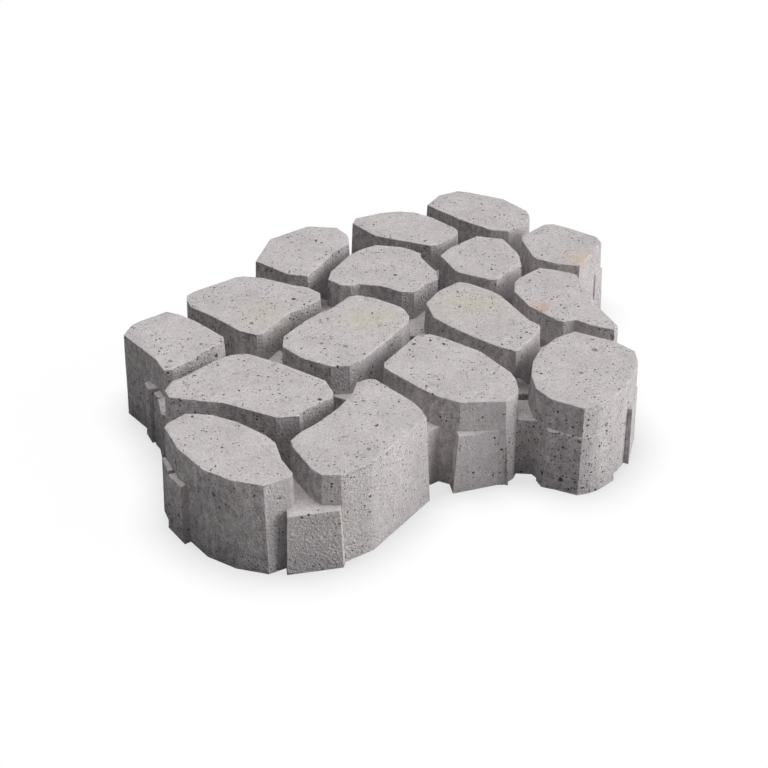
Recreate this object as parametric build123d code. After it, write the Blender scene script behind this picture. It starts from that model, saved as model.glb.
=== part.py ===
from build123d import *
import math
import os

# Concrete paving slab that looks like sixteen loose cobbles. It is cast in one piece: the cobbles stand
# apart from each other by open joints, and low webs where the joints meet or end hold them together.
# Millimetres. The origin is at the middle of the slab on the ground, +Z is up, +Y points to the back.

# Driving dimensions
thickness = 80.0          # ground to the walking face
draft_angle = 2.5         # every wall leans outwards on its way down, so that the mould lets go
web_height = 53.0         # ground to the top of the webs and of the spacer lugs
front_lug_draft = 4.5     # the lugs on the front lean more, so that slabs touch at their feet first

# The cobbles, from front left to back right. Each has its place in the plan and the corners of its
# walking face, counted from that place and taken counter-clockwise.
cobbles = {
    "a": ((-107, -203), [
        (-53, 31), (-54, 26), (-40, -2), (-18, -28), (4, -41), (27, -47), (45, -37),
        (47, -31), (38, -15), (32, 6), (24, 16), (2, 33), (-19, 43), (-41, 45)]),
    "b": ((-20, -172), [
        (-19, -65), (-5, -65), (16, -51), (59, 8), (55, 20), (49, 30), (19, 63), (13, 63),
        (4, 58), (1, 41), (-10, 21), (-26, 0), (-37, -11), (-44, -22), (-42, -31), (-27, -57)]),
    "c": ((66, -98), [
        (43, -36), (47, -26), (46, -10), (43, -1), (20, 32), (-10, 54), (-21, 60), (-33, 56),
        (-60, 14), (-60, 6), (-32, -24), (-17, -37), (0, -45), (36, -43)]),
    "d": ((169, -97), [
        (-7, -55), (6, -49), (16, -40), (29, -23), (39, -6), (46, 15), (46, 31), (32, 46),
        (0, 63), (-17, 53), (-33, 33), (-41, 14), (-44, -7), (-42, -26), (-32, -41)]),
    "e": ((-101, -119), [
        (-67, -7), (-62, -17), (-18, -25), (24, -45), (42, -43), (44, -36), (66, -17), (67, -9),
        (60, 8), (22, 34), (-6, 49), (-20, 47), (-32, 38), (-56, 12), (-63, 7)]),
    "f": ((-168, -48), [
        (-5, -48), (2, -47), (15, -34), (22, -23), (33, -11), (39, 1), (38, 5),
        (11, 32), (-4, 43), (-16, 48), (-37, 31), (-43, 24), (-47, 8), (-14, -31)]),
    "g": ((-22, -24), [
        (5, 54), (-3, 51), (-21, 26), (-28, 22), (-40, 8), (-57, -18), (-57, -35), (-39, -54),
        (-15, -66), (0, -65), (10, -57), (43, -6), (50, 10), (50, 16), (46, 28), (42, 33), (19, 49)]),
    "h": ((-110, 18), [
        (-60, 11), (-59, 2), (-54, -10), (-35, -25), (-7, -51), (8, -58), (13, -56), (34, -20),
        (44, -14), (59, 3), (59, 15), (47, 26), (32, 31), (5, 44), (-13, 47), (-20, 45), (-54, 18)]),
    "i": ((94, -3), [
        (22, -64), (35, -47), (46, -25), (46, -20), (38, -12), (16, 32), (8, 41), (-10, 54),
        (-18, 57), (-22, 56), (-39, 40), (-51, 18), (-45, -7), (-31, -23), (-7, -45), (9, -57)]),
    "j": ((8, 77), [
        (-53, -18), (-42, -29), (-32, -30), (-24, -27), (-5, -31), (14, -42),
        (25, -42), (36, -26), (47, -18), (46, -2), (33, 25), (33, 33),
        (23, 42), (13, 47), (-10, 51), (-25, 41), (-35, 29), (-51, -3)]),
    "k": ((-60, 124), [
        (-4, -59), (7, -38), (19, -9), (32, 7), (32, 18), (30, 26),
        (20, 41), (-6, 44), (-10, 43), (-44, 16), (-54, -30), (-21, -56)]),
    "l": ((165, 22), [
        (-15, 59), (-35, 40), (-40, 32), (-42, 14), (-31, -13), (-9, -38), (-4, -40), (6, -37),
        (26, -49), (38, -53), (42, -47), (30, -15), (18, 45), (12, 50), (-2, 56)]),
    "m": ((34, 169), [
        (-59, 6), (-36, -22), (17, -43), (23, -41), (44, -18), (44, -10),
        (41, -4), (20, 19), (2, 31), (-12, 33), (-32, 29), (-56, 17)]),
    "n": ((102, 97), [
        (-6, 50), (-33, 25), (-43, 9), (-29, -24), (1, -39), (7, -39),
        (16, -25), (32, -11), (31, 13), (19, 43)]),
    "o": ((111, 204), [
        (-61, 13), (-31, -19), (-1, -44), (17, -46), (29, -37), (40, -18),
        (40, -8), (38, 0), (17, 27), (-16, 43), (-28, 47), (-48, 36)]),
    "p": ((171, 132), [
        (17, -47), (44, 1), (41, 13), (17, 32), (2, 41), (-7, 40),
        (-31, 15), (-32, 5), (-25, -27), (-22, -33), (-3, -43)]),
}

# Webs where joints meet. Each corner of a web stands in or beside one of the cobbles it holds together,
# and is counted from the place of that cobble.
inner_webs = {
    "b c g": [
        ("g", -14, -64), ("g", -14, -69), ("g", -3, -75), ("b", 11, 60),
        ("b", 22, 56), ("c", -50, 2), ("c", -54, 19), ("g", 8, -46)],
    "e f g h": [
        ("f", 30, -8), ("e", -23, 37), ("e", 3, 39), ("g", -46, -44),
        ("g", -48, -12), ("h", 24, -37), ("h", -10, -42), ("f", 32, 8)],
    "g h j k": [("k", -10, -46), ("h", 42, 20), ("h", 50, 4), ("g", -2, 40), ("j", -34, -17)],
    "g i j": [
        ("g", 38, 26), ("i", -44, 8), ("i", -34, 43),
        ("j", 30, -23), ("j", 14, -35), ("g", 30, 38)],
    "c g i": [("g", 36, 2), ("c", -22, 44), ("i", -32, -11)],
    "c d i": [("i", 18, -51), ("c", 28, 8), ("d", -31, 7)],
    "d i l": [("l", -5, -26), ("i", 34, -23), ("d", -9, 41)],
    "i l n": [("n", 4, -25), ("i", -2, 39), ("l", -29, 24)],
    "i j n": [("j", 34, -9), ("i", -24, 43), ("n", -20, -11)],
    "j m n": [("m", 18, -31), ("j", 22, 27), ("n", -28, 7)],
    "j k m": [("m", -36, -11), ("k", 20, 14), ("j", -14, 37)],
    "l n p": [("n", 20, -7), ("l", -17, 44), ("p", -11, -26)],
    "m n o": [("m", 32, -9), ("n", -4, 37), ("o", 3, -30)],
    "n o p": [("o", 13, -34), ("n", 14, 33), ("p", -19, 14)],
}

# Webs across the outer ends of the joints. The joint between k and m stays open.
end_webs = {
    "a b": [
        ("a", 37, -2), ("a", 43, -49), ("b", -30, -77), ("b", -15, -74),
        ("b", -6, -72), ("b", -4, -58), ("b", -30, -33)],
    "b c": [
        ("b", 54, 22), ("b", 62, 29), ("c", -14, -38),
        ("c", -9, -32), ("c", -22, -24), ("b", 44, 36)],
    "c d": [("c", 38, -2), ("c", 42, -28), ("d", -37, -33), ("d", -35, -1)],
    "d l": [("d", 21, 43), ("d", 41, 32), ("l", 39, -49), ("l", 21, -52)],
    "l p": [("l", 5, 44), ("l", 18, 36), ("p", 20, -37), ("p", 1, -34)],
    "o p": [("p", -7, 32), ("p", 4, 38), ("o", 38, -5), ("o", 31, -22)],
    "m o": [("m", 12, 21), ("o", -45, 2), ("o", -57, 17), ("m", -1, 29)],
    "h k": [("h", 2, 42), ("k", -36, -40), ("k", -51, -26), ("h", -17, 44)],
    "f h": [("f", 2, 36), ("h", -42, -14), ("h", -57, 4), ("f", -15, 45)],
    "e f": [("f", -12, -50), ("e", -73, -1), ("e", -59, -5), ("e", -49, 13), ("f", 2, -36)],
    "a e": [("e", -59, -9), ("a", -54, 35), ("a", -39, 33), ("e", -41, -13)],
}

# Spacer lugs on the outer faces, which keep this slab off the next one
front_lugs = {
    "front of c": [
        ("c", -3, -42), ("c", -1, -53), ("c", 16, -49),
        ("c", 37, -44), ("c", 38, -32), ("c", 0, -32)],
    "front of d": [
        ("d", -34, -42), ("d", -32, -47), ("d", -23, -50), ("d", -7, -57), ("d", 0, -55),
        ("d", 8, -51), ("d", 19, -41), ("d", 11, -33), ("d", -27, -33)],
}
side_lugs = {
    "right of d": [("d", 39, -16), ("d", 49, 19), ("d", 39, 23), ("d", 27, -11)],
    "right of p": [("p", 39, -13), ("p", 47, 1), ("p", 33, 3), ("p", 28, -15)],
    "upper left of a": [("a", -58, 24), ("a", -51, 7), ("a", -39, 13), ("a", -45, 28)],
    "lower left of a": [("a", -51, 3), ("a", -39, -13), ("a", -27, -5), ("a", -39, 7)],
    "upper left of f": [("f", -27, -25), ("f", -22, -35), ("f", -10, -32), ("f", -18, -18)],
    "lower left of f": [("f", -17, -40), ("f", -12, -48), ("f", -2, -44), ("f", -10, -34)],
}


def shifted(outline, outwards):
    """The outline with every side moved outwards by one distance; corners stay sharp."""
    moved = []
    for before, corner, after in zip(outline[-1:] + outline[:-1], outline, outline[1:] + outline[:1]):
        arriving = (corner - before).normalized()
        leaving = (after - corner).normalized()
        normal = arriving.rotate(Axis.Z, -90) + leaving.rotate(Axis.Z, -90)
        moved.append(corner + normal * (outwards / (1 + arriving.dot(leaving))))
    return moved


def leaning_block(top, height, draft):
    """Solid under a flat outline, with walls that lean outwards down to the ground."""
    foot = shifted(top, height * math.tan(math.radians(draft)))
    upper = [corner + Vector(0, 0, height) for corner in top]
    walls = []
    for i in range(len(top)):
        walls.append(Face(Wire.make_polygon([foot[i - 1], foot[i], upper[i], upper[i - 1]])))
    caps = [Face(Wire.make_polygon(foot)), Face(Wire.make_polygon(upper))]
    return Solid(Shell(walls + caps))


def low_block(corners, draft):
    """Web or lug; its corners are counted from the places of the cobbles beside it."""
    top = [Vector(*cobbles[name][0]) + Vector(x, y) for name, x, y in corners]
    return leaning_block(top, web_height, draft)


stones = []
for place, corners in cobbles.values():
    top = [Vector(*place) + Vector(x, y) for x, y in corners]
    stones.append(leaning_block(top, thickness, draft_angle))
low_blocks = [low_block(corners, front_lug_draft) for corners in front_lugs.values()]
for group in (inner_webs, end_webs, side_lugs):
    low_blocks += [low_block(corners, draft_angle) for corners in group.values()]

slab = stones[0].fuse(*stones[1:], *low_blocks).clean()
middle = slab.bounding_box().center()
slab = Pos(-middle.X, -middle.Y, 0) * slab
print("solids", len(slab.solids()), "volume", slab.volume, "box", slab.bounding_box(), "middle", middle)

os.makedirs("parts", exist_ok=True)
export_step(slab, "parts/paving_slab.step")
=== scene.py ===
"""A cast concrete paving slab with a cobble pattern, on a white floor, lit from above and from the right.

Lengths and places are millimetres along the frame's axes; MM turns them into the frame's metres.
"""

import bisect
import math
import random
from collections import namedtuple

import bmesh
import bpy
from mathutils import Matrix, Vector, noise
from mathutils.geometry import delaunay_2d_cdt


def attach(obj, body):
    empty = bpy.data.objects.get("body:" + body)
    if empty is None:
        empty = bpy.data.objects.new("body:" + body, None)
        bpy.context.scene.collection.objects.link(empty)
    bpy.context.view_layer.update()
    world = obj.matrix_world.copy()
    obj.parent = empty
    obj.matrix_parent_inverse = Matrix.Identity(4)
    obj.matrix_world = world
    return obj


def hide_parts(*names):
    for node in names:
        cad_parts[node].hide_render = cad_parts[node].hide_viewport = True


MM = 0.001

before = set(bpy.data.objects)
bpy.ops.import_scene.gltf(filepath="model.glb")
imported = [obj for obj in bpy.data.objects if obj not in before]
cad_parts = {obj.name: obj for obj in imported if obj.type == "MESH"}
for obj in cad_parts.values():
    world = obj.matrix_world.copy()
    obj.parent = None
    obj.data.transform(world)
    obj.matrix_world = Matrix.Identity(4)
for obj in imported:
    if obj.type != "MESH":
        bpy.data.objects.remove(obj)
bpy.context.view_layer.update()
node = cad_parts["paving_slab"]
rng = random.Random(4)

# Outlines from the frame
FLAT = 0.999               # a face whose normal rises by this much is a flat top
HIGHER = 0.1               # a wall whose middle is this much above a flat top rises from it
SAME_POINT = 0.01          # corners of the CAD mesh nearer than this are one
SAME_PLANE = 0.5           # degrees; triangles that turn less are one face
STRAIGHT_ON = 0.01         # sine of the turn under which two sides are in line
LONGEST_MITRE = 2          # how far a corner may move, for each millimetre that its sides move

# Mesh of the casting
ARRIS = 0.5                # radius of the top edges
ARRIS_STEPS = 3
WALL_STEP = 3.0            # mesh spacing along a wall
ROW_STEP = 5.0             # and up it
TOP_STEP = 3.4             # mesh spacing over a flat top
TOP_SCATTER = 0.3          # how far its points stray from their rows, in spacings
TOP_MARGIN = 0.45          # how far they stay from the edge, in spacings
ROOT = 2.0                 # how far a web or lug reaches into the cobbles beside it
ROUNDING = 1e-6
SAME_MESH_POINT = 1e-4     # points of one sheet nearer than this are one
WELD = 0.002               # and points of neighbouring sheets
INSIDE_ONLY = 1            # asks for the triangles inside the fixed edges
UPRIGHT = 0.95             # an edge that rises by this share of its length is upright
UPRIGHT_TURN = 24.0        # degrees; upright edges that turn more are crisp
OTHER_TURN = 50.0          # and all other edges

# Unevenness of the cast faces: mean depth of the humps, height of the ripple, and their widths
WALL_HUMPS = 0.12
WALL_HUMP_WIDTH = 14
WALL_RIPPLE = 0.04
WALL_RIPPLE_WIDTH = 2.5
TOP_HUMPS = 0.25
TOP_HUMP_WIDTH = 26
TOP_RIPPLE = 0.05
TOP_RIPPLE_WIDTH = 5
EVEN_FOOT = 4              # height over which the unevenness grows from nothing

# Wear of the top edges
CHIP = 1.5                 # deepest chip
CHIP_REACH = 3.0           # how far a chip runs down the wall
CHIP_WIDTH = 7
CHIP_RARITY = 0.42         # there is a chip where the noise is above this
CHIP_SHIFT = Vector((9, 4, 2))
CHIP_DROP = 0.7            # how far down a chip goes, for each millimetre inwards
CHIP_TURN = 0.999          # chips fade out over this share of the rounded edge
NIBBLE = 0.12              # fine wear all along the edges
NIBBLE_WIDTH = 1.7

# Pits sunk into the mesh
TOP_PITS = 1 / 900         # pits tried for each square millimetre of a flat top
WALL_PITS = 1 / 1100       # and of a wall
PIT_RADII = (0.6, 1.7)
PIT_SMALLNESS = 2.5        # the higher, the more of them are small
PIT_SLIMNESS = (0.5, 1.0)  # width, for each millimetre of length
PIT_DEPTH = (0.7, 1.3)     # depth, for each millimetre of radius
PIT_RINGS = ((1.0, 0.0), (0.72, 0.65), (0.3, 1.0))   # share of the radius, share of the depth
PIT_CORNERS = 8            # corners of a ring
PIT_RAGGED = (0.88, 1.12)  # how far out a corner stands, in radii of its ring
PIT_GAP = 0.6              # least gap between two pits
EDGE_ROOM = (1.3, 0.5)     # how far a pit's middle stays from the edge: in radii, and millimetres more
MESH_ROOM = (1.25, 0.3)    # and from the other mesh points

# Patterns of the concrete
RAGGED = 1.6               # grains, pores and patches are bent by up to half of this
RAGGED_WIDTH = 1.5
SAND = 0.75                # width of the sand grains in the paste
FINE_MOTTLING = 1.3
COARSE_MOTTLING = 7.0
STREAKS = 5.0              # width of the mould's streaks
STREAK_STRETCH = (1.0, 1.0, 0.65)   # heights count for less, so that the streaks run upright
GRIT = 2.2                 # width of the grains torn out of the walls
RELIEF = 0.9               # height of the grit
PORE_KINDS = ((2.4, 0.8, 0.58), (5.5, 1.25, 0.52), (15.0, 2.0, 0.3))   # spacing, largest radius, share
PORE_RIM = 0.25            # width over which a pore's rim fades
PORE_DEPTH = 0.9           # in heights of the relief
CREASE_WIDTH = 3.2         # from one crease to the next
# Painted shade in the hollows: how far the pores, creases and sunk pits are darkened
PORE_PAINTED_SHADE = 0.88
PIT_PAINTED_SHADE = 0.55        # how dark the sunk pits are beside the pores
TO_THE_RIGHT = Vector((1.0, -0.3, 0.0))
TORN_TO_SOUND = (35.0, 75.0)   # how far to the right the walls go over from torn to well packed

# Where the mix packed badly; tinted patches and painted shade; large pores: place, radius and colour
LOOSE_CORNER = (140, -125, 25)
TINTS_AND_PAINTED_SHADE = [
    ((-103, -5, 80), 36, "#c6c1b7"), ((80, 15, 80), 55, "#c6c1b7"), ((-9, -12, 80), 45, "#c6c1b7"),
    ((143, 9, 80), 13, "#c9b09c"), ((187, 100, 80), 20, "#cab8a8"),
    # Painted shade: two dark patches on webs deep in the joints, where shade falls
    ((120, -76, 53), 22, "#5c5859"), ((-55, 60, 53), 23, "#5c5859")]
# Large pores, darkened with painted shade like the small ones
LARGE_PORES = [
    ((180, -64, 80), 2.6), ((164, -100, 80), 1.7), ((181, -141, 57), 2.1), ((201, -31, 71), 2.0),
    ((-171, -82, 80), 2.1), ((-173, -91, 80), 1.8), ((-149, -55, 80), 1.7), ((-110, -20, 80), 2.0),
    ((-48, -54, 80), 1.8), ((-7, -205, 80), 1.8), ((-152, -199, 62), 2.6), ((-120, -236, 61), 2.2)]

Pit = namedtuple("Pit", "centre radius slimness turn depth")


# Outlines from the frame


def flat_tops():
    """Height and corners of each flat face that looks up, and how much the wall under each side leans out.

    None stands for a side that a cobble's wall rises from.
    """
    bm = bmesh.new()
    bm.from_mesh(node.data)
    bmesh.ops.remove_doubles(bm, verts=bm.verts, dist=SAME_POINT * MM)
    bmesh.ops.dissolve_limit(bm, angle_limit=math.radians(SAME_PLANE), verts=bm.verts, edges=bm.edges)
    tops = []
    for face in bm.faces:
        if face.normal.z < FLAT:
            continue
        height = face.calc_center_median().z / MM
        corners = [Vector(loop.vert.co.xy) / MM for loop in face.loops]
        leans = []
        for loop in face.loops:
            wall = next(beside for beside in loop.edge.link_faces if beside is not face)
            rises = wall.calc_center_median().z / MM > height + HIGHER
            leans.append(None if rises else wall.normal.z / wall.normal.xy.length)
        tops.append((height, corners, leans))
    bm.free()
    return tops


def moved(corners, distances):
    """The outline with each side moved outwards by its own distance."""
    result = []
    for i, corner in enumerate(corners):
        arriving = (corner - corners[i - 1]).normalized()
        leaving = (corners[(i + 1) % len(corners)] - corner).normalized()
        first = corner + Vector((arriving.y, -arriving.x)) * distances[i - 1]
        second = corner + Vector((leaving.y, -leaving.x)) * distances[i]
        crossing = first
        turn = arriving.cross(leaving)
        if abs(turn) > STRAIGHT_ON:
            crossing = first + arriving * ((second - first).cross(leaving) / turn)
        farthest = LONGEST_MITRE * max(abs(distances[i - 1]), abs(distances[i]))
        if (crossing - corner).length > farthest:
            crossing = (first + second) / 2
        result.append(crossing)
    return result


def inside(point, corners):
    """Whether a point of the plan lies in an outline."""
    odd = False
    for a, b in zip(corners, corners[1:] + corners[:1]):
        if (a.y > point.y) != (b.y > point.y):
            odd ^= point.x < a.x + (point.y - a.y) * (b.x - a.x) / (b.y - a.y)
    return odd


def distance_to_edge(point, corners):
    """Shortest distance in the plan from a point to an outline."""
    nearest = math.inf
    for a, b in zip(corners, corners[1:] + corners[:1]):
        side = b - a
        share = max(0.0, min(1.0, (point - a).dot(side) / side.length_squared))
        nearest = min(nearest, (a + side * share - point).length)
    return nearest


# Cast surface


def unevenness(spot, outwards):
    """How far the cast surface stands in from the plane here."""
    wall = WALL_HUMPS * (1 - noise.noise(spot / WALL_HUMP_WIDTH))
    wall += WALL_RIPPLE * noise.noise(spot / WALL_RIPPLE_WIDTH)
    top = TOP_HUMPS * (1 - noise.noise(spot / TOP_HUMP_WIDTH))
    top += TOP_RIPPLE * noise.noise(spot / TOP_RIPPLE_WIDTH)
    up = max(0.0, outwards.z)
    above_ground = min(1.0, spot.z / EVEN_FOOT)
    return (wall * (1 - up) + top * up) * above_ground


def wear(spot):
    """How deep a top edge is worn here: chips in places, and fine nibbles all along."""
    chipped = max(0.0, noise.noise(spot / CHIP_WIDTH + CHIP_SHIFT) - CHIP_RARITY)
    nibbled = abs(noise.noise(spot / NIBBLE_WIDTH))
    return CHIP * chipped / (1 - CHIP_RARITY) + NIBBLE * nibbled


class Skin:
    """Collects the surface of the whole casting."""

    def __init__(self):
        self.spots = []
        self.faces = []
        self.in_pit = []

    def lay(self, points, fixed_edges, pits, place):
        """Meshes a flat sheet, with pits sunk into it, and lays it where place(u, v) says.

        place gives the spot in space and the way out of the surface there.
        """
        flat = list(points)
        sunk = [0.0] * len(flat)
        edges = list(fixed_edges)
        for pit in pits:
            for radius_share, depth_share in PIT_RINGS:
                first = len(flat)
                for k in range(PIT_CORNERS):
                    angle = math.tau * k / PIT_CORNERS
                    reach = pit.radius * radius_share * rng.uniform(*PIT_RAGGED)
                    corner = Vector((math.cos(angle), math.sin(angle) * pit.slimness)) * reach
                    corner.rotate(pit.turn)
                    flat.append(pit.centre + corner)
                    sunk.append(pit.depth * depth_share)
                    edges.append((first + k, first + (k + 1) % PIT_CORNERS))
        verts, _, faces, sources, _, _ = delaunay_2d_cdt(flat, edges, [], INSIDE_ONLY, SAME_MESH_POINT)
        base = len(self.spots)
        for vert, source in zip(verts, sources):
            drop = max([sunk[i] for i in source], default=0.0)
            spot, outwards = place(vert.x, vert.y)
            self.spots.append(spot - outwards * (unevenness(spot, outwards) + drop))
            self.in_pit.append(float(drop > 0))
        self.faces += [[base + i for i in face] for face in faces]

    def object(self, name):
        """The finished mesh as one object."""
        mesh = bpy.data.meshes.new(name)
        mesh.from_pydata([spot * MM for spot in self.spots], [], self.faces)
        mesh.attributes.new("pit", "FLOAT", "POINT").data.foreach_set("value", self.in_pit)
        mesh.shade_smooth()
        bm = bmesh.new()
        bm.from_mesh(mesh)
        bmesh.ops.remove_doubles(bm, verts=bm.verts, dist=WELD * MM)
        for edge in bm.edges:
            upright = abs(edge.verts[0].co.z - edge.verts[1].co.z) > UPRIGHT * edge.calc_length()
            limit = math.radians(UPRIGHT_TURN if upright else OTHER_TURN)
            edge.smooth = len(edge.link_faces) == 2 and edge.calc_face_angle() < limit
        bm.to_mesh(mesh)
        bm.free()
        result = bpy.data.objects.new(name, mesh)
        bpy.context.scene.collection.objects.link(result)
        return result


def room_for(radius, room):
    """How far from the middle of a pit of that radius something has to stay."""
    return radius * room[0] + room[1]


def scattered_pits(area, density, low, high, fits):
    """Pits at random places of a sheet, clear of each other, where fits(centre, room) holds."""
    pits = []
    for _ in range(int(area * density + rng.random())):
        radius = PIT_RADII[0] + (PIT_RADII[1] - PIT_RADII[0]) * rng.random() ** PIT_SMALLNESS
        centre = Vector((rng.uniform(low[0], high[0]), rng.uniform(low[1], high[1])))
        near = any((centre - other.centre).length < radius + other.radius + PIT_GAP for other in pits)
        if near or not fits(centre, room_for(radius, EDGE_ROOM)):
            continue
        turn = Matrix.Rotation(rng.uniform(0, math.pi), 2)
        slimness = rng.uniform(*PIT_SLIMNESS)
        pits.append(Pit(centre, radius, slimness, turn, radius * rng.uniform(*PIT_DEPTH)))
    return pits


def clear_of(pits, point):
    """Whether a mesh point stands clear of all the pits."""
    return all((point - pit.centre).length > room_for(pit.radius, MESH_ROOM) for pit in pits)


def lay_wall(skin, edge, foot, height):
    """Walls from the ground up to a flat top, with its rounded edge; gives the outline left on top."""
    count = len(edge)
    inner = moved(edge, [-ARRIS] * count)
    stops = [0.0]
    marks = []
    for i in range(count):
        side_length = (edge[(i + 1) % count] - edge[i]).length
        parts = max(1, round(side_length / WALL_STEP))
        marks += [stops[-1] + side_length * k / parts for k in range(parts)]
        stops.append(stops[-1] + side_length)
    length = stops[-1]
    marks.append(length)
    straight = height - ARRIS
    row_count = round(straight / ROW_STEP)
    rows = [straight * k / row_count for k in range(row_count)]
    rows += [straight - CHIP_REACH / 2]
    rows += [straight + ARRIS * k * math.pi / 2 / ARRIS_STEPS for k in range(ARRIS_STEPS + 1)]
    top_row = rows[-1]

    def place(along, up):
        side = min(bisect.bisect_right(stops, along + ROUNDING) - 1, count - 1)
        share = (along - stops[side]) / (stops[side + 1] - stops[side])
        after = (side + 1) % count
        low = foot[side].lerp(foot[after], share)
        high = edge[side].lerp(edge[after], share)
        inwards = inner[side].lerp(inner[after], share) - high
        bend = max(0.0, up - straight) / ARRIS
        level = min(up, straight)
        plan = low.lerp(high, level / height) + inwards * (1 - math.cos(bend))
        out = -inwards.normalized()
        spot = Vector((plan.x, plan.y, level + ARRIS * math.sin(bend)))
        outwards = Vector((out.x * math.cos(bend), out.y * math.cos(bend), math.sin(bend)))
        near_edge = max(0.0, 1 - (straight - level) / CHIP_REACH) * math.cos(bend * CHIP_TURN)
        spot -= Vector((out.x, out.y, CHIP_DROP)) * wear(spot) * near_edge
        return spot, outwards

    def fits(point, room):
        return room < point.x < length - room and room < point.y < straight - CHIP_REACH - room

    pits = scattered_pits(length * straight, WALL_PITS, (0, 0), (length, straight), fits)
    grid = [Vector((mark, row)) for row in rows for mark in marks]
    points = [point for point in grid if clear_of(pits, point)]
    first = len(points)
    points += [Vector((0, 0)), Vector((length, 0)), Vector((length, top_row)), Vector((0, top_row))]
    skin.lay(points, [(first + k, first + (k + 1) % 4) for k in range(4)], pits, place)
    return [place(mark, top_row)[0].xy for mark in marks[:-1]]


def lay_top(skin, outline, height):
    """Flat top inside the outline that the walls leave."""
    low = [min(p[axis] for p in outline) for axis in (0, 1)]
    high = [max(p[axis] for p in outline) for axis in (0, 1)]
    area = (high[0] - low[0]) * (high[1] - low[1])

    def fits(point, room):
        return inside(point, outline) and distance_to_edge(point, outline) > room

    pits = scattered_pits(area, TOP_PITS, low, high, fits)
    points = list(outline)
    for j in range(int((high[1] - low[1]) / TOP_STEP) + 1):
        for i in range(int((high[0] - low[0]) / TOP_STEP) + 1):
            every_other = 0.5 * (j % 2)
            right = rng.uniform(-TOP_SCATTER, TOP_SCATTER) + every_other
            back = rng.uniform(-TOP_SCATTER, TOP_SCATTER)
            point = Vector(low) + (Vector((i, j)) + Vector((right, back))) * TOP_STEP
            if clear_of(pits, point) and fits(point, TOP_STEP * TOP_MARGIN):
                points.append(point)
    count = len(outline)
    skin.lay(points, [(k, (k + 1) % count) for k in range(count)], pits,
             lambda x, y: (Vector((x, y, height)), Vector((0, 0, 1))))


def lay_block(skin, height, corners, leans):
    """A cobble, web or lug: walls, flat top and underside."""
    edge = moved(corners, [ROOT if lean is None else 0.0 for lean in leans])
    foot = moved(edge, [height * (lean or 0.0) for lean in leans])
    outline = lay_wall(skin, edge, foot, height)
    lay_top(skin, outline, height)
    count = len(foot)
    skin.lay(foot, [(k, (k + 1) % count) for k in range(count)], [],
             lambda x, y: (Vector((x, y, 0)), Vector((0, 0, -1))))


def paving_slab():
    """The whole casting as one mesh that stands for the CAD node."""
    skin = Skin()
    for height, corners, leans in flat_tops():
        lay_block(skin, height, corners, leans)
    slab = skin.object("slab")
    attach(slab, "root")
    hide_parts("paving_slab")
    return slab


# Materials

SMOOTH = {"interpolation_type": "SMOOTHSTEP"}
MIX_A, MIX_B, MIX_RESULT = 6, 7, 2     # where a mix node keeps its colours


def linear(code):
    """A screen colour such as #9c968e as linear red, green, blue and alpha."""
    parts = [int(code[i:i + 2], 16) / 255 for i in (1, 3, 5)]
    return tuple(p / 12.92 if p <= 0.04045 else ((p + 0.055) / 1.055) ** 2.4 for p in parts) + (1.0,)


def material(name):
    """An empty node material: the material, its node tree and the socket for its surface."""
    result = bpy.data.materials.new(name)
    result.use_nodes = True
    tree = result.node_tree
    tree.nodes.clear()
    return result, tree, tree.nodes.new("ShaderNodeOutputMaterial").inputs["Surface"]


def add(tree, kind, inputs=(), output=0, **settings):
    """Adds a shader node and gives one of its outputs.

    Inputs come in a list, or by number or name; each is a plain value or a socket to link from.
    """
    made = tree.nodes.new("ShaderNode" + kind)
    for key, value in settings.items():
        setattr(made, key, value)
    by_key = inputs if isinstance(inputs, dict) else dict(enumerate(inputs))
    for key, value in by_key.items():
        if isinstance(value, bpy.types.NodeSocket):
            tree.links.new(value, made.inputs[key])
        else:
            made.inputs[key].default_value = value
    return made.outputs[output]


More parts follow.
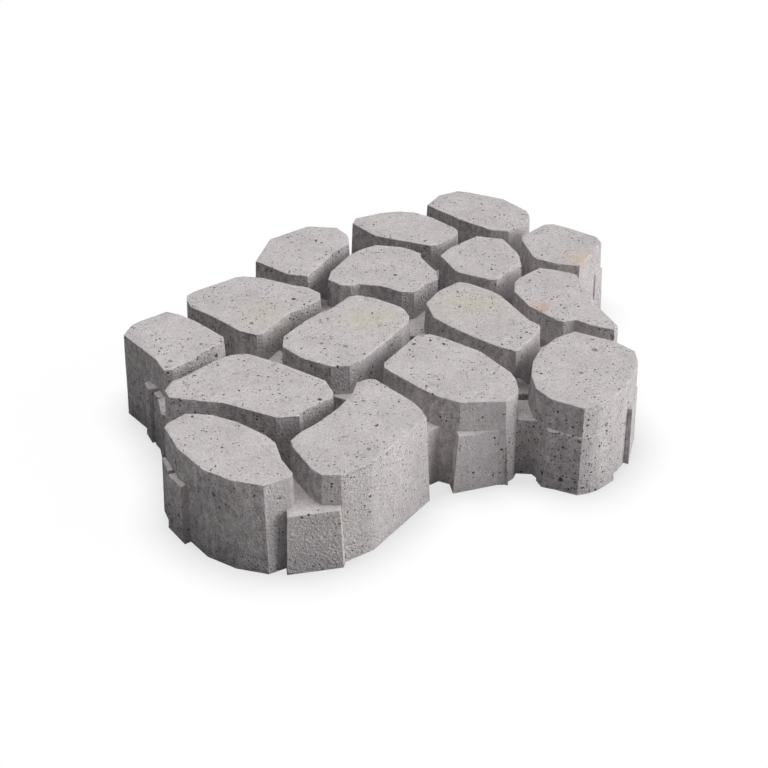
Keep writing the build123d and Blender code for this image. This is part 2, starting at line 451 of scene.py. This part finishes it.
class Concrete:
    """Nodes of the concrete: its coordinates in millimetres, and the patterns that its layers share."""

    def __init__(self, tree):
        self.tree = tree
        where = add(tree, "TexCoord", output="Object")
        self.mm = add(tree, "VectorMath", {0: where, "Scale": 1 / MM}, operation="SCALE")

        # Bent coordinates make the grains, pores and patches ragged
        wobble = add(tree, "TexNoise", {"Vector": self.mm, "Scale": 1 / RAGGED_WIDTH, "Detail": 2.0}, "Color")
        bend = add(tree, "VectorMath", [wobble, (0.5, 0.5, 0.5)], operation="SUBTRACT")
        bend = add(tree, "VectorMath", {0: bend, "Scale": RAGGED}, operation="SCALE")
        self.bent = add(tree, "VectorMath", [self.mm, bend], operation="ADD")

        # Whether this is a wall, how far it turns to the right, and how far to the right it lies
        normal = add(tree, "SeparateXYZ", [add(tree, "NewGeometry", output="Normal")]).node
        self.wall = add(tree, "MapRange", [normal.outputs["Z"], 0.35, 0.75, 1.0, 0.0], **SMOOTH)
        self.turned_right = normal.outputs["X"]
        self.across = add(tree, "VectorMath", [self.mm, TO_THE_RIGHT], "Value", operation="DOT_PRODUCT")

    def on_walls(self, value, low, high, at_low, at_high):
        """A fade along a value, on the walls alone."""
        fade = add(self.tree, "MapRange", [value, low, high, at_low, at_high], **SMOOTH)
        return add(self.tree, "Math", [fade, self.wall], operation="MULTIPLY")

    def clouds(self, width, low, high, at_low, at_high, detail=2.0, roughness=0.5, vector=None):
        """Clouds of about that width, with the noise from low to high turned into at_low to at_high."""
        fog = add(self.tree, "TexNoise",
                  {"Vector": vector or self.mm, "Scale": 1 / width, "Detail": detail, "Roughness": roughness})
        return add(self.tree, "MapRange", [fog, low, high, at_low, at_high], **SMOOTH)

    def spot(self, place, near, far, at_near, at_far):
        """A ragged spot: a fade with the distance from a place."""
        away = add(self.tree, "VectorMath", [self.bent, place], "Value", operation="DISTANCE")
        return add(self.tree, "MapRange", [away, near, far, at_near, at_far], **SMOOTH)

    def looseness(self):
        """How badly the mix packed: in clouds 17 mm wide, less at the very front, more on the left walls.

        Worst of all are the walls at one corner.
        """
        tree = self.tree
        clouds = self.clouds(17.0, 0.34, 0.62, 0.72, 1.0)
        back = add(tree, "SeparateXYZ", [self.mm], "Y")
        behind_front = add(tree, "MapRange", [back, -190.0, -110.0, 0.0, 0.08], **SMOOTH)
        on_left = self.on_walls(self.across, -150.0, 20.0, 0.24, 0.05)
        from_corner = add(tree, "VectorMath", [self.mm, LOOSE_CORNER], "Value", operation="DISTANCE")
        at_corner = self.on_walls(from_corner, 20.0, 66.0, 0.6, -0.03)
        airy = add(tree, "Math", [behind_front, on_left], operation="MAXIMUM")
        loose = add(tree, "Math", [clouds, airy], operation="ADD")
        return add(tree, "Math", [loose, at_corner], operation="ADD")

    def pores(self, looseness, spacing, largest, share):
        """Mask of round pores, sunk and given painted shade: one in a share of the cells of that width, fewer
        where it packed well.
        """
        tree = self.tree
        cells = add(tree, "TexVoronoi", {"Vector": self.bent, "Scale": 1 / spacing}, feature="F1").node
        chance = add(tree, "SeparateColor", [cells.outputs["Color"]])
        loose = add(tree, "Math", [chance, looseness], operation="MULTIPLY")
        radius = add(tree, "MapRange", [loose, 1 - share, 1.0, 0.0, largest / spacing], **SMOOTH)
        depth = add(tree, "Math", [radius, cells.outputs["Distance"]], operation="SUBTRACT")
        return add(tree, "MapRange", [depth, 0.0, PORE_RIM / spacing, 0.0, 1.0], **SMOOTH)

    def creases(self):
        """Mask of short creases, sunk and given painted shade, where the noise crosses its middle value, in a
        few places.
        """
        tree = self.tree
        ridge = add(tree, "TexNoise", {"Vector": self.bent, "Scale": 1 / CREASE_WIDTH, "Detail": 2.0})
        ridge = add(tree, "Math", [ridge, 0.5], operation="SUBTRACT")
        ridge = add(tree, "Math", [ridge], operation="ABSOLUTE")
        crease = add(tree, "MapRange", [ridge, 0.0, 0.018, 1.0, 0.0], **SMOOTH)
        few = self.clouds(6.0, 0.62, 0.70, 0.0, 0.6, detail=1.0)
        return add(tree, "Math", [crease, few], operation="MULTIPLY")

    def holes(self):
        """Mask of all the pores and creases, which sinks them and darkens them with painted shade."""
        looseness = self.looseness()
        masks = [self.pores(looseness, *kind) for kind in PORE_KINDS]
        masks += [self.spot(place, radius - 0.8, radius + 0.6, 0.65, 0.0) for place, radius in LARGE_PORES]
        result = self.creases()
        for mask in masks:
            result = add(self.tree, "Math", [result, mask], operation="MAXIMUM")
        return result

    def paste(self):
        """Cement paste: two greys in clouds 40 mm wide, a little tan in clouds of 28 mm, and the patches, two
        of them painted shade on webs in the joints.
        """
        layers = [
            (self.clouds(40.0, 0.35, 0.65, 0.0, 1.0, detail=3.0), "#c9c3c4"),
            (self.clouds(28.0, 0.60, 0.72, 0.0, 0.2, detail=3.0, vector=self.bent), "#cbc0ad")]
        layers += [(self.spot(place, 0.0, radius, 0.9, 0.0), tint_and_painted_shade) for place, radius, tint_and_painted_shade in TINTS_AND_PAINTED_SHADE]
        result = linear("#c1bbbc")
        for share, tint_and_painted_shade in layers:
            result = add(self.tree, "Mix", {"Factor": share, MIX_A: result, MIX_B: linear(tint_and_painted_shade)}, MIX_RESULT,
                         data_type="RGBA")
        return result

    def mottling(self):
        """How much lighter or darker the sand and the uneven paste are, and more so on the rougher walls."""
        tree = self.tree
        sand = add(tree, "TexVoronoi", {"Vector": self.bent, "Scale": 1 / SAND}, "Color", feature="F1")
        grain = add(tree, "SeparateColor", [sand], "Green")
        grain = add(tree, "MapRange", [grain, 0.0, 1.0, -0.16, 0.04], **SMOOTH)
        fine = self.clouds(FINE_MOTTLING, 0.3, 0.7, -0.15, 0.07, detail=3.0, roughness=0.7)
        coarse = self.clouds(COARSE_MOTTLING, 0.3, 0.7, -0.05, 0.05, detail=4.0, roughness=0.65)
        result = add(tree, "Math", [grain, fine], operation="ADD")
        result = add(tree, "Math", [result, coarse], operation="ADD")
        rougher = add(tree, "MapRange", [self.wall, 0.0, 1.0, 1.0, 1.25], **SMOOTH)
        return add(tree, "Math", [result, rougher], operation="MULTIPLY")

    def streaks(self):
        """How much lighter or darker the mould's streaks are, on all walls but those that look right."""
        tree = self.tree
        drawn_out = add(tree, "VectorMath", [self.mm, STREAK_STRETCH], operation="MULTIPLY")
        marks = self.clouds(STREAKS, 0.3, 0.7, -0.26, 0.18, detail=4.0, roughness=0.65, vector=drawn_out)
        on_left = self.on_walls(self.turned_right, -0.4, 0.25, 1.0, 0.0)
        return add(tree, "Math", [marks, on_left], operation="MULTIPLY")

    def colour(self):
        """The paste, shaded by the mottling, the streaks and a pale skin of cement on well packed walls."""
        skin = self.on_walls(self.across, *TORN_TO_SOUND, 0.01, 0.10)
        shade = 1.0
        for layer in (self.mottling(), skin, self.streaks()):
            shade = add(self.tree, "Math", [shade, layer], operation="ADD")
        return add(self.tree, "VectorMath", {0: self.paste(), "Scale": shade}, operation="SCALE")

    def grit(self):
        """Height of the grains: torn out on the walls of the left and middle, slight on the tops."""
        tree = self.tree
        lumps = add(tree, "TexNoise", {"Vector": self.mm, "Scale": 1 / GRIT, "Detail": 3.0, "Roughness": 0.6})
        torn = add(tree, "Math", [self.on_walls(self.across, *TORN_TO_SOUND, 1.8, 0.7), 0.2], operation="ADD")
        return add(tree, "Math", [lumps, torn], operation="MULTIPLY")


def cast_concrete():
    """Vibrated concrete from a steel mould, struck as soon as it was pressed.

    Grey cement paste with sand in it gives the fine light and dark grain, and air against the mould gives
    small pores, darkened with painted shade. The mould drawn off the stiff mix tears grains out, so the
    walls are grittier than the tops. All of it is matt, as concrete is unless it's polished.
    """
    result, tree, surface = material("cast concrete")
    concrete = Concrete(tree)
    holes = concrete.holes()
    # Painted shade: the pores, creases and sunk pits are darkened towards #353233, as shade in hollows
    pits = add(tree, "Attribute", output="Fac", attribute_name="pit")
    pits = add(tree, "Math", [pits, PIT_PAINTED_SHADE], operation="MULTIPLY")
    painted_shade = add(tree, "Math", [holes, pits], operation="MAXIMUM")
    painted_shade = add(tree, "Math", [painted_shade, PORE_PAINTED_SHADE], operation="MULTIPLY")
    colour = add(tree, "Mix", {"Factor": painted_shade, MIX_A: concrete.colour(), MIX_B: linear("#353233")},
                 MIX_RESULT, data_type="RGBA")
    sunk = add(tree, "Math", [holes, PORE_DEPTH], operation="MULTIPLY")
    relief = add(tree, "Math", [concrete.grit(), sunk], operation="SUBTRACT")
    bump = add(tree, "Bump", {"Strength": 1.0, "Distance": RELIEF * MM, "Height": relief})
    shader = add(tree, "BsdfPrincipled",
                 {"Base Color": colour, "Roughness": 0.92, "IOR": 1.45, "Normal": bump})
    tree.links.new(shader, surface)
    return result


def white_floor():
    """White sweep: the camera sees it near white, with a soft painted shade round the foot of the slab.

    The grey that it throws back onto the walls fades to almost nothing close to the slab, as painted shade.
    """
    painted_shade_width = 37
    painted_bounce_shade_width = 120
    result, tree, surface = material("white floor")
    # Painted shade: the glow the camera sees dims by ambient occlusion close to the slab
    open_near = add(tree, "AmbientOcclusion", {"Distance": painted_shade_width * MM}, "AO")
    strength = add(tree, "MapRange", [open_near, 0.5, 1.0, 0.73, 0.97])
    seen = add(tree, "BsdfDiffuse", {"Color": linear("#303030")})
    glow = add(tree, "Emission", {"Color": linear("#ffffff"), "Strength": strength})
    # Painted shade: the grey thrown back onto the walls dims by ambient occlusion close to the slab
    open_around = add(tree, "AmbientOcclusion", {"Distance": painted_bounce_shade_width * MM}, "AO")
    unseen = add(tree, "BsdfDiffuse", {"Color": add(tree, "MapRange", [open_around, 0.7, 1.0, 0.02, 0.5])})
    camera_ray = add(tree, "LightPath", output="Is Camera Ray")
    both = add(tree, "MixShader", [camera_ray, unseen, add(tree, "AddShader", [seen, glow])])
    tree.links.new(both, surface)
    return result


# Studio


def soft_lamp(name, azimuth, height, width, strength):
    """Even soft light from far away; where it stands and how wide it looks from the slab are in degrees."""
    lamp = bpy.data.lights.new(name, "SUN")
    lamp.angle = math.radians(width)
    lamp.energy = strength
    made = bpy.data.objects.new(name, lamp)
    bpy.context.scene.collection.objects.link(made)
    level = math.cos(math.radians(height))
    towards = Vector((level * math.cos(math.radians(azimuth)), level * math.sin(math.radians(azimuth)),
                      math.sin(math.radians(height))))
    made.rotation_euler = towards.to_track_quat("Z", "Y").to_euler()


def studio():
    """Floor, soft light from above and from the right, and a surround that is white to the camera alone."""
    reach = 6000 * MM
    floor_mesh = bpy.data.meshes.new("floor")
    floor_mesh.from_pydata([(-reach, -reach, 0), (reach, -reach, 0), (reach, reach, 0), (-reach, reach, 0)],
                           [], [(0, 1, 2, 3)])
    floor = bpy.data.objects.new("floor", floor_mesh)
    bpy.context.scene.collection.objects.link(floor)
    floor.data.materials.append(white_floor())

    soft_lamp("top softbox", azimuth=0, height=90, width=60, strength=2.04)
    soft_lamp("right softbox", azimuth=-6, height=18, width=60, strength=3.39)
    soft_lamp("left reflector", azimuth=200, height=50, width=90, strength=0.16)

    world = bpy.data.worlds.new("surround")
    bpy.context.scene.world = world
    world.use_nodes = True
    tree = world.node_tree
    tree.nodes.clear()
    camera_ray = add(tree, "LightPath", output="Is Camera Ray")
    strength = add(tree, "MapRange", [camera_ray, 0.0, 1.0, 0.02, 1.0])
    sky = add(tree, "Background", {"Color": linear("#ffffff"), "Strength": strength})
    tree.links.new(sky, tree.nodes.new("ShaderNodeOutputWorld").inputs["Surface"])


def camera():
    """The photo's view: from the front and above, through a lens as long as 1300 of its pixels."""
    photo_width = 768
    focal = 1300
    sensor = 36.0
    down = math.radians(33)
    distance = 1185.2
    target = Vector((4.65, 6.32, 0))
    data = bpy.data.cameras.new("camera")
    data.sensor_width = sensor
    data.lens = sensor * focal / photo_width
    made = bpy.data.objects.new("camera", data)
    bpy.context.scene.collection.objects.link(made)
    made.location = (target + Vector((0, -math.cos(down), math.sin(down))) * distance) * MM
    made.rotation_euler = (math.pi / 2 - down, 0, 0)
    bpy.context.scene.camera = made


slab = paving_slab()
slab.data.materials.append(cast_concrete())
studio()
camera()
bpy.context.scene.view_settings.view_transform = "Standard"
